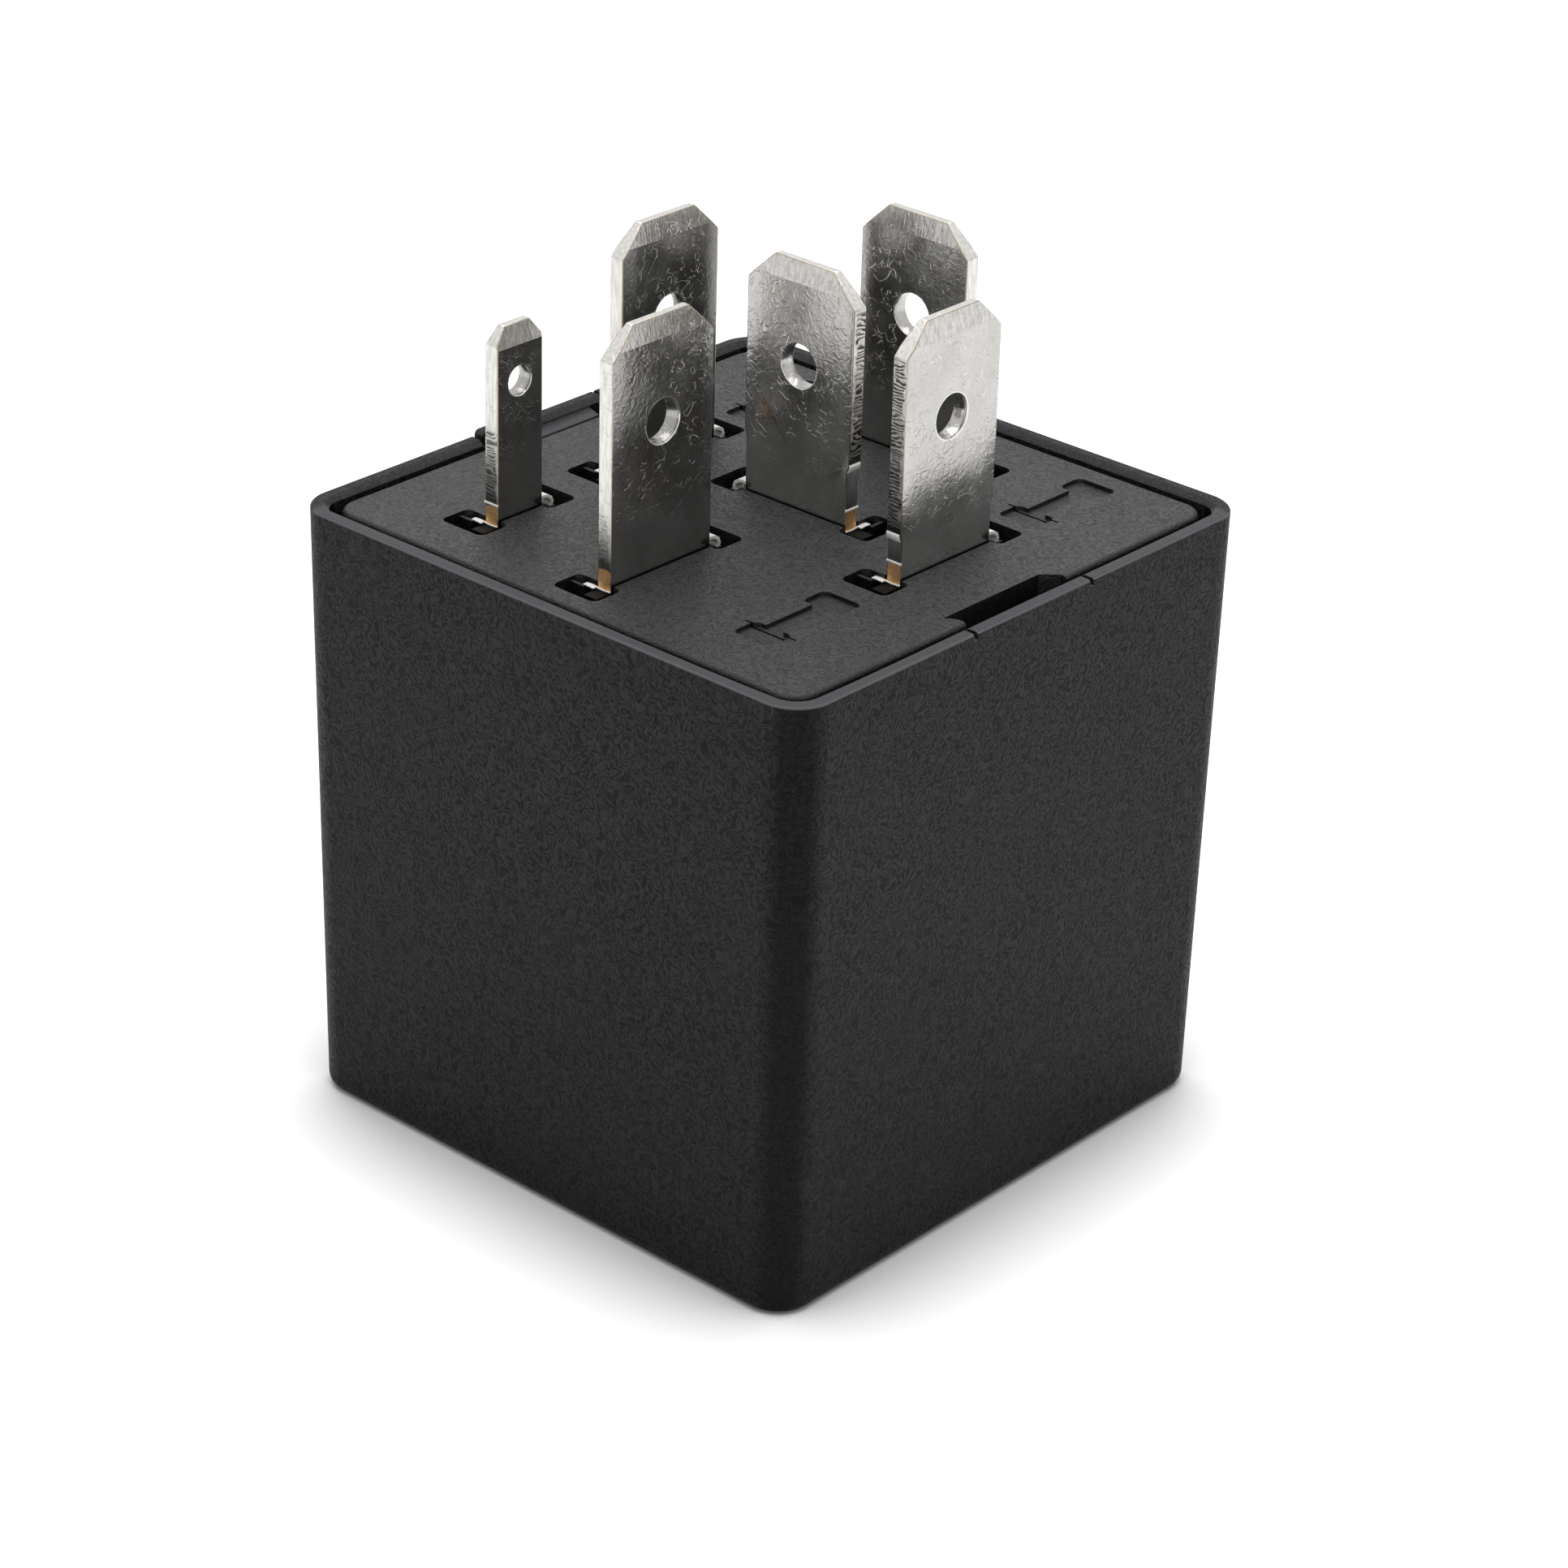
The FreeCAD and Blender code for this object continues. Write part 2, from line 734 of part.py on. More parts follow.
def coil_winding():
    low = hinge_z + pole_thick + flange_thick
    top = yoke_low - flange_thick
    tube = rod(coil_x, relay_y, low, top, winding_r).cut(rod(coil_x, relay_y, low, top, barrel_r))
    return tube


def iron_core():
    low = hinge_z + pole_thick
    pole = rod(coil_x, relay_y, hinge_z, low, pole_r)
    shank = rod(coil_x, relay_y, low, yoke_low, core_r)
    neck = rod(coil_x, relay_y, yoke_low, frame_low, rivet_r)
    head = rod(coil_x, relay_y, frame_low, frame_low + rivet_head_height, rivet_head_r)
    return fuse([pole, shank, neck, head])


def coil_pins():
    top = yoke_low
    pins = [rod(coil_x, relay_y + side * coil_pin_y, top - flange_thick / 2, board_top + pin_above,
                coil_pin_r) for side in (-1, 1)]
    return Part.makeCompound(pins)


# Moving pieces, drawn pulled in against the core and then let down to rest
def let_down(shape):
    return shape.rotate(hinge, FreeCAD.Vector(0, 1, 0), armature_swing)


def leaf_rivet_places():
    x = yoke_x + leaf_rivet_x
    return [(x, relay_y - leaf_rivet_y), (x, relay_y + leaf_rivet_y)]


def armature():
    half = armature_width / 2
    solid = box(yoke_x, yoke_x + armature_reach, relay_y - half, relay_y + half, armature_low, armature_top)
    solid = solid.makeFillet(armature_corner_r, upright_edges_at(solid, yoke_x + armature_reach))
    tail = box(yoke_x - armature_tail, yoke_x + 0.1, relay_y - ear_width / 2, relay_y + ear_width / 2,
               armature_low, armature_top)
    solid = fuse([solid, tail])
    cuts = [rod(x, y, armature_low - 1, armature_top + 1, leaf_rivet_r) for x, y in leaf_rivet_places()]
    cuts.append(rod(yoke_x - spring_x, relay_y, armature_low - 1, armature_top + 1, spring_hole_r))
    return let_down(solid.cut(Part.makeCompound(cuts)))


def upright_edges_at(shape, x):
    found = []
    for edge in shape.Edges:
        bounds = edge.BoundBox
        if bounds.ZLength > 0.1 and abs(bounds.XMin - x) < 1e-4 and abs(bounds.XMax - x) < 1e-4:
            found.append(edge)
    return found


def armature_rivets():
    rivets = []
    for x, y in leaf_rivet_places():
        shank = rod(x, y, leaf_low, armature_top, leaf_rivet_r)
        head = rod(x, y, leaf_low - leaf_rivet_head, leaf_low, leaf_rivet_head_r)
        rivets.append(fuse([shank, head]))
    return let_down(Part.makeCompound(rivets))


def contact_leaf():
    half = leaf_width / 2
    leaf = box(yoke_x + leaf_start, yoke_x + leaf_end, relay_y - half, relay_y + half, leaf_low, armature_low)
    leaf = leaf.makeFillet(leaf_corner_r, upright_edges_at(leaf, yoke_x + leaf_end))
    cuts = [rod(x, y, leaf_low - 1, armature_low + 1, leaf_rivet_r) for x, y in leaf_rivet_places()]
    cuts.append(rod(yoke_x + contact_x, relay_y, leaf_low - 1, armature_low + 1, contact_shank_r))
    return let_down(leaf.cut(Part.makeCompound(cuts)))


def moving_contact():
    x = yoke_x + contact_x
    upper = rod(x, relay_y, armature_low, armature_low + contact_head, contact_r)
    shank = rod(x, relay_y, leaf_low, armature_low, contact_shank_r)
    lower = rod(x, relay_y, leaf_low - contact_head, leaf_low, contact_r)
    return let_down(fuse([upper, shank, lower]))


# Fixed contacts on their brass strips
def contact_strip(leg_x, tongue_low):
    half = strip_width / 2
    x = yoke_x + leg_x
    tongue = box(yoke_x + contact_x - strip_back, x + strip_thick, relay_y - half, relay_y + half,
                 tongue_low, tongue_low + strip_thick)
    leg = box(x, x + strip_thick, relay_y - half, relay_y + half, tongue_low, frame_top)
    tail = block(x + strip_thick / 2, relay_y, strip_thick, strip_tail_width, frame_top,
                 board_top + pin_above)
    hole = rod(yoke_x + contact_x, relay_y, tongue_low - 1, tongue_low + strip_thick + 1, contact_shank_r)
    return fuse([tongue, leg, tail]).cut(hole)


def fixed_contact(strip_low, side):
    x = yoke_x + contact_x
    strip_top = strip_low + strip_thick
    shank = rod(x, relay_y, strip_low, strip_top, contact_shank_r)
    if side < 0:
        face = rod(x, relay_y, strip_low - contact_head, strip_low, contact_r)
        back = rod(x, relay_y, strip_top, strip_top + contact_back, contact_back_r)
    else:
        face = rod(x, relay_y, strip_top, break_top, contact_r)
        back = rod(x, relay_y, strip_low - contact_back, strip_low, contact_back_r)
    return fuse([shank, face, back])


# Return spring between the yoke's ear and the armature's tail
def return_spring():
    x = yoke_x - spring_x
    wire = spring_wire / 2
    ear_low = frame_low - ear_drop - ear_thick
    tail_top = armature_top + (spring_x + spring_hole_r) * math.sin(swing)
    top, low = ear_low - spring_end, tail_top + spring_end
    turns = round((top - low) / spring_pitch) + spring_part_turn
    coil = Part.makeHelix((top - low) / turns, top - low, spring_r)
    coil.translate(FreeCAD.Vector(x, relay_y, low))
    start = FreeCAD.Vector(x + spring_r, relay_y, low)
    section = Part.Wire([Part.makeCircle(wire, start, FreeCAD.Vector(0, 1, 0))])
    body = Part.Wire(coil.Edges).makePipeShell([section], True, True)
    end = Part.Wire(coil.Edges).Edges[-1].Vertexes[-1].Point
    shapes = [body]
    for point, hook_z in ((start, armature_low - spring_hook), (end, ear_low + ear_thick + spring_hook)):
        middle = FreeCAD.Vector(x, relay_y, point.z)
        shapes.append(Part.makeSphere(wire, point))
        shapes.append(Part.makeCylinder(wire, spring_r, middle, point - middle))
        shapes.append(Part.makeSphere(wire, middle))
        reach = FreeCAD.Vector(0, 0, hook_z - point.z)
        shapes.append(Part.makeCylinder(wire, reach.Length, middle, reach))
        bar = FreeCAD.Vector(x, relay_y - spring_bar / 2, hook_z)
        shapes.append(Part.makeCylinder(wire, spring_bar, bar, FreeCAD.Vector(0, 1, 0)))
    return fuse(shapes)


# Circuit board and its solder
def strip_tail_places():
    return [(yoke_x + leg_x + strip_thick / 2, relay_y) for leg_x in (make_leg_x, break_leg_x)]


def circuit_board():
    board = rounded_block(0, 0, 2 * board_half, 2 * board_half, board_low, board_top, board_corner_r)
    low, top = board_low - 1, board_top + 1
    cuts = [rod(x, y, low, top, lead_r + hole_play) for x, y in lead_places()]
    cuts += [rod(x, y, low, top, stake_r) for x, y in stake_places()]
    cuts += [rod(coil_x, relay_y + side * coil_pin_y, low, top, coil_pin_r + hole_play) for side in (-1, 1)]
    cuts += [block(x, y, strip_thick + 2 * hole_play, strip_tail_width + 2 * hole_play, low, top)
             for x, y in strip_tail_places()]
    tab_x = yoke_x + yoke_bend_r + yoke_tab_thick / 2
    cuts.append(block(tab_x, relay_y, yoke_tab_thick + 2 * hole_play, yoke_tab_width + 2 * hole_play,
                      low, top))
    for width, x, y, turn, neck in terminals.values():
        tail = small_tail_width if width == small_width else tail_width
        slot = block(0, 0, tail + 2 * hole_play, blade_thick + 2 * hole_play, low, top)
        cuts.append(stand(slot, x, y, turn, 0))
    return board.cut(Part.makeCompound(cuts))


def solder_cone(x, y, hole, z=board_top):
    cone = Part.makeCone(solder_r, solder_top_r, solder_high, FreeCAD.Vector(x, y, z))
    return cone.cut(hole)


def component_solder():
    cones = []
    for x, y in lead_places():
        flat = abs(abs(x - chip_at[0]) - chip_row / 2) < 1e-6
        hole = block(x, y, chip_metal, chip_lead, board_low, board_top + 2) if flat else lead(x, y, board_low)
        cones.append(solder_cone(x, y, hole))
    for side in (-1, 1):
        y = relay_y + side * coil_pin_y
        cones.append(solder_cone(coil_x, y, rod(coil_x, y, board_low, board_top + 2, coil_pin_r)))
    return Part.makeCompound(cones)


def solder_frame(length, width, z0, z1, run):
    low, high = (z0, z1) if z0 < z1 else (z1, z0)
    wires = []
    for z in (z0, z1):
        grow = run if z == z0 else run * fillet_taper
        a, b = length / 2 + grow, width / 2 + grow
        points = [FreeCAD.Vector(x, y, z) for x, y in ((-a, -b), (a, -b), (a, b), (-a, b), (-a, -b))]
        wires.append(Part.makePolygon(points))
    return Part.makeLoft(wires, True, True).cut(block(0, 0, length, width, low - 1, high + 1))


def terminal_solder():
    joints = []
    for width, x, y, turn, neck in terminals.values():
        tail = small_tail_width if width == small_width else tail_width
        joint = solder_frame(tail, blade_thick, board_low, board_low - fillet_high, fillet_run)
        joints.append(stand(joint, x, y, turn, 0))
    for x, y in strip_tail_places():
        joint = solder_frame(strip_thick, strip_tail_width, board_top, board_top + solder_high, solder_high)
        joints.append(stand(joint, x, y, 0, 0))
    tab_x = yoke_x + yoke_bend_r + yoke_tab_thick / 2
    joint = solder_frame(yoke_tab_thick, yoke_tab_width, board_top, board_top + solder_high, solder_high)
    joints.append(stand(joint, tab_x, relay_y, 0, 0))
    return Part.makeCompound(joints)


save("housing_can", housing_can())
save("base_plate", base_plate())
for name, (width, x, y, turn, neck) in terminals.items():
    shape = small_blade() if width == small_width else wide_blade(neck)
    save(name, stand(shape, x, y, turn))
save("circuit_board", circuit_board())
save("component_solder", component_solder())
save("terminal_solder", terminal_solder())
save("relay_frame", relay_frame())
save("yoke", yoke())
save("coil_bobbin", coil_bobbin())
save("coil_winding", coil_winding())
save("iron_core", iron_core())
save("coil_pins", coil_pins())
save("armature", armature())
save("armature_rivets", armature_rivets())
save("contact_leaf", contact_leaf())
save("moving_contact", moving_contact())
save("make_strip", contact_strip(make_leg_x, make_low))
save("make_contact", fixed_contact(make_low, -1))
save("break_strip", contact_strip(break_leg_x, strip_floor))
save("break_contact", fixed_contact(strip_floor, 1))
save("return_spring", return_spring())
save("timing_capacitor", electrolytic())
save("film_capacitor", film_capacitor())
save("timer_chip", timer_chip())
save("driver_transistor", driver_transistor())
save("flyback_diode", standing_part(*flyback_at, 90, diode_r, diode_length, False))
save("zener_diode", standing_part(*zener_at, 180, zener_r, zener_length, False))
for name, (x, y, turn) in resistors.items():
    save(name, standing_part(x, y, turn, resistor_r, resistor_length, True))
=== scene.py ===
import json
import math

import bmesh
import bpy
from mathutils import Matrix, Vector


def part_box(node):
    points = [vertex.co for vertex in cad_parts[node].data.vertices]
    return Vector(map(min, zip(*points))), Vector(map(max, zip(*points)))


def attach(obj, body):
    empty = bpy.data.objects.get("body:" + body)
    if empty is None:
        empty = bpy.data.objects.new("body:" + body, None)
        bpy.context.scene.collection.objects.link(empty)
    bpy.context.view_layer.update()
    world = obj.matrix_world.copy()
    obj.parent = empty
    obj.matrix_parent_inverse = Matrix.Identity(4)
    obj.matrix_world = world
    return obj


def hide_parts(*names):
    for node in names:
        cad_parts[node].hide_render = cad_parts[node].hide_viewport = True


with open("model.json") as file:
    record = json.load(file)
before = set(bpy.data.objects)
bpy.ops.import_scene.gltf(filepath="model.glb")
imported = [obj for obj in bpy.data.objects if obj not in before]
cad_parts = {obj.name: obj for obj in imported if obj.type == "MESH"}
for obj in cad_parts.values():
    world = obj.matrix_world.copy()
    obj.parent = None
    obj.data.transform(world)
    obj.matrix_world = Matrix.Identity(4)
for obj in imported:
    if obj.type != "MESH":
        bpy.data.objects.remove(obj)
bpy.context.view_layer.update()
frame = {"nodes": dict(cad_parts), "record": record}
nodes = frame["nodes"]

# Lengths below are in millimetres and turned into metres by mm
mm = 0.001

# Camera, in the photograph's own view
view_azimuth = math.radians(41.269)
view_elevation = math.radians(27.066)
view_roll = math.radians(1.691)
view_distance = 215.0
view_right = 0.871
view_up = 14.147
view_lens = 102.56
sensor_width = 36.0

# Sizes that the finish follows, the same as in the solids
plate_top = 29.8
rim_top = 30.0
can_inside = 14.38
blade_width = 6.3
blade_height = 11.7
small_width = 2.8
small_height = 9.1
neck_depth = 0.12
lead_in_high = 1.0
blade_hole_r = 1.03
blade_hole_drop = 4.85
small_hole_r = 0.7
small_hole_drop = 2.7

# Component bodies end at these levels, and bare leads go on from them
body_top = 23.45
body_low = 17.4
wire_pitch = 0.14

# Rounding of the edges, and what counts as a sharp edge or a flat face there
can_edge = 0.03
plate_edge = 0.04
blade_edge = 0.05
merge_reach = 0.002
flat_angle = math.radians(0.4)
sharp_angle = math.radians(28.0)
square_angle = math.radians(1.0)
broad_area = 0.4
lug_edge_angle = math.radians(40)

# Colours that more than one finish uses
black = (0.001, 0.001, 0.001)
bare_lead = (0.62, 0.61, 0.6)

# Floor and lamp, in metres and watts, and the world's light
floor_half = 2.0
floor_color = (0.9, 0.9, 0.9, 1.0)
floor_glow = 0.56
lamp_place = (-0.05, 0.06, 0.7)
lamp_aim = (0, 0, 0.02)
lamp_size = 0.9
lamp_power = 4.2
world_light = 0.42

# Contact shadow: how far it reaches, and how open the sky is where it is darkest and where it ends
contact_reach = 8.0
contact_dark = 0.49
contact_clear = 0.98

blade_names = ["terminal_signal", "terminal_motor", "terminal_ground", "terminal_supply",
               "terminal_park", "terminal_switch"]


# Shader graphs
class Graph:
    def __init__(self, name):
        self.material = bpy.data.materials.new(name)
        self.material.use_nodes = True
        self.tree = self.material.node_tree
        self.shader = self.tree.nodes["Principled BSDF"]
        self.position = None

    def node(self, kind, settings=None, **inputs):
        made = self.tree.nodes.new(kind)
        for key, value in (settings or {}).items():
            setattr(made, key, value)
        for key, value in inputs.items():
            self.put(made.inputs[key.replace("_", " ")], value)
        return made

    def put(self, socket, value):
        if isinstance(value, bpy.types.NodeSocket):
            self.tree.links.new(value, socket)
        else:
            socket.default_value = value

    def place(self):
        if self.position is None:
            coords = self.tree.nodes.new("ShaderNodeTexCoord")
            scaled = self.tree.nodes.new("ShaderNodeVectorMath")
            scaled.operation = "SCALE"
            scaled.inputs["Scale"].default_value = 1 / mm
            self.put(scaled.inputs[0], coords.outputs["Object"])
            self.position = scaled.outputs["Vector"]
        return self.position

    def axes(self):
        parts = self.node("ShaderNodeSeparateXYZ", Vector=self.place())
        return parts.outputs["X"], parts.outputs["Y"], parts.outputs["Z"]

    def normal(self):
        geometry = self.tree.nodes.new("ShaderNodeNewGeometry")
        parts = self.node("ShaderNodeSeparateXYZ", Vector=geometry.outputs["Normal"])
        return parts.outputs["X"], parts.outputs["Y"], parts.outputs["Z"]

    def math(self, operation, a, b=0.0):
        made = self.tree.nodes.new("ShaderNodeMath")
        made.operation = operation
        self.put(made.inputs[0], a)
        self.put(made.inputs[1], b)
        return made.outputs[0]

    def plus(self, a, b):
        return self.math("ADD", a, b)

    def minus(self, a, b):
        return self.math("SUBTRACT", a, b)

    def times(self, a, b):
        return self.math("MULTIPLY", a, b)

    def larger(self, a, b):
        return self.math("MAXIMUM", a, b)

    def absolute(self, a):
        return self.math("ABSOLUTE", a)

    def above(self, value, level):
        return self.math("GREATER_THAN", value, level)

    def below(self, value, level):
        return self.math("LESS_THAN", value, level)

    def between(self, value, low, high):
        return self.times(self.above(value, low), self.below(value, high))

    def close_to(self, value, level, reach):
        return self.below(self.absolute(self.minus(value, level)), reach)

    def span(self, value, low, high, out_low=0.0, out_high=1.0):
        made = self.tree.nodes.new("ShaderNodeMapRange")
        made.clamp = True
        limits = {"From Min": low, "From Max": high, "To Min": out_low, "To Max": out_high}
        for key, number in limits.items():
            self.put(made.inputs[key], number)
        self.put(made.inputs["Value"], value)
        return made.outputs["Result"]

    def noise(self, scale, detail=2.0, roughness=0.5, distortion=0.0, stretch=None):
        vector = self.place()
        if stretch:
            vector = self.node("ShaderNodeMapping", Vector=vector, Scale=stretch).outputs["Vector"]
        made = self.node("ShaderNodeTexNoise", Vector=vector, Scale=scale, Detail=detail,
                         Roughness=roughness, Distortion=distortion)
        return made.outputs[0]

    # Inputs 6 and 7 and output 2 are the mix node's colour sockets
    def mix(self, factor, a, b):
        made = self.tree.nodes.new("ShaderNodeMix")
        made.data_type = "RGBA"
        self.put(made.inputs["Factor"], factor)
        for socket, value in ((made.inputs[6], a), (made.inputs[7], b)):
            self.put(socket, value if isinstance(value, bpy.types.NodeSocket) else (*value, 1.0))
        return made.outputs[2]

    def bump(self, height, distance, strength=1.0, before=None):
        made = self.node("ShaderNodeBump", Height=height, Distance=distance * mm, Strength=strength)
        if before is not None:
            self.put(made.inputs["Normal"], before)
        return made.outputs["Normal"]

    def base_color(self):
        return self.shader.inputs["Base Color"].links[0].from_socket

    def set(self, **inputs):
        for key, value in inputs.items():
            socket = self.shader.inputs[key.replace("_", " ")]
            if isinstance(value, tuple):
                value = (*value, 1.0)
            self.put(socket, value)
        return self.material


def shade(color, factor):
    return tuple(min(1.0, part * factor) for part in color)


# Spark-eroded plastic: a flowing noise cut into worms, with a finer grain over it
worm_scale = 1.5
worm_turns = 42.0
worm_share = 0.6
fine_grain_scale = 5.0
grain_depth = 0.018
grain_roughness = 0.5
grain_gloss = 0.06


def worm_grain(g):
    flow = g.noise(worm_scale, 1.0, 0.4, 0.8)
    worms = g.span(g.math("SINE", g.times(flow, worm_turns)), -1.0, 1.0)
    fine = g.span(g.noise(fine_grain_scale, 1.0, 0.5, 0.4), 0.3, 0.7)
    return g.plus(g.times(worms, worm_share), g.times(fine, 1.0 - worm_share))


def grained_plastic(name, color, specular):
    g = Graph(name)
    grain = worm_grain(g)
    cloud = g.noise(0.12, 2.0, 0.5)
    color_out = g.mix(g.span(grain, 0.2, 0.8), shade(color, 0.25), shade(color, 1.75))
    color_out = g.mix(g.span(cloud, 0.3, 0.7, 0.0, 0.3), color_out, shade(color, 1.3))
    rough = g.span(grain, 0.2, 0.8, grain_roughness + grain_gloss, grain_roughness - grain_gloss)
    g.set(Base_Color=color_out, Roughness=rough, Normal=g.bump(grain, grain_depth))
    g.set(Specular_IOR_Level=specular)
    return g


# The can has painted shade at its corners, towards its foot and inside, and painted light on its rim,
# brightest along the rim's rounded edges
corner_shade = 0.62
foot_shade = 0.45
foot_shade_from = 1.0
foot_shade_to = 22.0
inside_shade = 0.9
inside_drop = 0.1
rim_band = 0.5
rim_light_color = (0.08, 0.081, 0.086)
rim_edge_highlight = 0.6
rim_edge_highlight_color = (0.17, 0.171, 0.18)

# The two far rims, which get less of the painted rim light, lie beyond these distances from the middle
far_rim_start = 13.9
far_rim_end = 14.3
far_rim_dimming = 0.8


def housing_plastic():
    g = grained_plastic("housing_plastic", (0.0168, 0.0171, 0.0186), 0.09)
    x, y, z = g.axes()
    nx, ny, nz = g.normal()
    # Painted shade: darker corners, darker towards the foot, and nearly black inside the can below its rim
    corner = g.math("MINIMUM", g.absolute(nx), g.absolute(ny))
    color = g.mix(g.span(corner, 0.2, 0.45, 0.0, corner_shade), g.base_color(), black)
    color = g.mix(g.span(z, foot_shade_from, foot_shade_to, foot_shade, 0.0), color, black)
    out = g.larger(g.absolute(x), g.absolute(y))
    within = g.times(g.below(out, can_inside), g.below(z, rim_top - inside_drop))
    color = g.mix(g.times(within, inside_shade), color, black)
    # Painted light on the rim's top and painted highlight along its rounded edges, weaker on the two far
    # rims
    far_dimming = g.larger(g.span(x, -far_rim_end, -far_rim_start, far_rim_dimming, 0.0),
                    g.span(y, far_rim_start, far_rim_end, 0.0, far_rim_dimming))
    rim = g.times(g.above(z, rim_top - rim_band), g.span(nz, 0.15, 0.5))
    rim = g.times(rim, g.minus(1.0, far_dimming))
    edge_highlight = g.times(rim, g.span(nz, 0.8, 0.97, 1.0, 0.0))
    color = g.mix(rim, color, rim_light_color)
    g.set(Base_Color=g.mix(g.times(edge_highlight, rim_edge_highlight), color, rim_edge_highlight_color))
    return g.material


# Painted shade on the plate: darker just below its top, nearly black on what stands upright there and deep
# down
sunk_drop = 0.004
deep_drop = 0.5
sunk_shade = 0.3
hidden_shade = 0.95


def base_plastic():
    g = grained_plastic("base_plastic", (0.0255, 0.026, 0.0276), 0.38)
    z = g.axes()[2]
    # Painted shade in the gap between plate and can, and deep down
    sunk = g.below(z, plate_top - sunk_drop)
    upright = g.span(g.normal()[2], 0.86, 0.985, 1.0, 0.0)
    hidden = g.larger(g.times(sunk, upright), g.below(z, plate_top - deep_drop))
    color = g.mix(g.times(sunk, sunk_shade), g.base_color(), black)
    g.set(Base_Color=g.mix(g.times(hidden, hidden_shade), color, black))
    return g.material


def simple_plastic(name, color, roughness, specular, grain=6.0, depth=0.004):
    g = Graph(name)
    grain_out = g.noise(grain, 3.0, 0.55)
    color_out = g.mix(g.span(grain_out, 0.3, 0.7), shade(color, 0.88), shade(color, 1.08))
    rough = g.span(g.noise(0.8, 2.0), 0.3, 0.7, roughness - 0.05, roughness + 0.08)
    g.set(Base_Color=color_out, Roughness=rough, Normal=g.bump(grain_out, depth))
    g.set(Specular_IOR_Level=specular)
    return g


# Finishes of the pieces inside
def plain_metal(name, color, roughness, scratch=(1.0, 1.0, 1.0), scale=5.0, depth=0.004):
    g = Graph(name)
    lines = g.noise(scale, 4.0, 0.6, stretch=scratch)
    color_out = g.mix(g.span(lines, 0.3, 0.7), shade(color, 0.9), color)
    rough = g.span(g.noise(1.1, 3.0), 0.3, 0.7, roughness * 0.75, roughness * 1.35)
    g.set(Base_Color=color_out, Roughness=rough, Normal=g.bump(lines, depth))
    g.set(Metallic=1.0)
    return g


def enamelled_copper():
    g = Graph("enamelled_copper")
    turn = g.math("SINE", g.times(g.axes()[2], 2 * math.pi / wire_pitch))
    drift = g.noise(2.0, 2.0)
    color = g.mix(g.span(drift, 0.3, 0.7), (0.42, 0.13, 0.04), (0.62, 0.24, 0.08))
    g.set(Base_Color=color, Roughness=0.28, Metallic=0.9, Normal=g.bump(turn, 0.03))
    return g.material


def board_laminate():
    g = Graph("board_laminate")
    weave = g.noise(9.0, 2.0, 0.5, stretch=(1.0, 0.25, 1.0))
    across = g.noise(9.0, 2.0, 0.5, stretch=(0.25, 1.0, 1.0))
    cloth = g.plus(g.times(weave, 0.5), g.times(across, 0.5))
    color = g.mix(g.span(cloth, 0.35, 0.65), (0.02, 0.13, 0.06), (0.035, 0.2, 0.09))
    edge = g.below(g.absolute(g.normal()[2]), 0.5)
    g.set(Base_Color=g.mix(edge, color, (0.45, 0.4, 0.22)), Roughness=0.35, Normal=g.bump(cloth, 0.01))
    return g.material


# Colour bands on the resistors: their levels and colours
resistor_bands = ((18.9, (0.25, 0.08, 0.02)), (20.0, (0.02, 0.02, 0.02)), (21.1, (0.6, 0.12, 0.02)),
                  (22.4, (0.5, 0.36, 0.08)))
resistor_band_half = 0.27
diode_band_half = 0.35


def banded_lacquer():
    g = Graph("resistor_lacquer")
    z = g.axes()[2]
    body = g.mix(g.span(g.noise(3.0, 2.0), 0.3, 0.7), (0.55, 0.4, 0.22), (0.66, 0.5, 0.3))
    for level, color in resistor_bands:
        body = g.mix(g.close_to(z, level, resistor_band_half), body, color)
    lead = g.larger(g.above(z, body_top), g.below(z, body_low))
    g.set(Base_Color=g.mix(lead, body, bare_lead), Roughness=0.3, Metallic=lead,
          Normal=g.bump(g.noise(4.0, 2.0), 0.01))
    return g.material


def leaded_body(name, color, roughness, band_level, band_color):
    g = simple_plastic(name, color, roughness, 0.5)
    z = g.axes()[2]
    body = g.mix(g.close_to(z, band_level, diode_band_half), g.base_color(), band_color)
    lead = g.above(z, body_top)
    g.set(Base_Color=g.mix(lead, body, bare_lead), Metallic=lead)
    return g.material


# Tinned blades: how bright the tin is on each, one level per blade
tin_level = {"terminal_signal": 0.78, "terminal_motor": 0.7, "terminal_ground": 1.0,
           "terminal_supply": 0.97, "terminal_park": 0.94, "terminal_switch": 0.44}
# How much the rolled faces crinkle
crinkled = {"terminal_signal": 0.5, "terminal_motor": 0.8, "terminal_ground": 1.0,
            "terminal_supply": 0.8, "terminal_park": 0.45, "terminal_switch": 0.4}
# Burr marks on the near side: marks per mm, lowest and highest, darkness, first and last across
burrs = {
    "terminal_signal": (5.5, 0.9, 4.2, 0.75, -0.4, 0.25),
    "terminal_motor": (5.0, 0.9, 3.2, 0.5, -0.3, 0.2),
    "terminal_ground": (6.0, 2.4, 10.2, 0.9, -0.37, 0.27),
    "terminal_supply": (4.6, 3.2, 10.2, 0.97, -0.22, 0.4),
    "terminal_park": (5.0, 1.0, 4.0, 0.3, -0.2, 0.2),
    "terminal_switch": (5.0, 1.0, 4.0, 0.3, -0.2, 0.2),
}
# How high above the plate the shoulder over the neck is, on the two blades that show one
neck_marks = {"terminal_ground": 2.0, "terminal_supply": 2.8}
# How high the copper-coloured foot of the near side reaches
copper_top = 0.7

# The supply blade's brown stain, its middle across and above the plate, and the scratch beside it
stain_across = -1.95
stain_height = 4.1
scratch_across = -1.6
scratch_height = 4.2
scratch_slope = 1.25


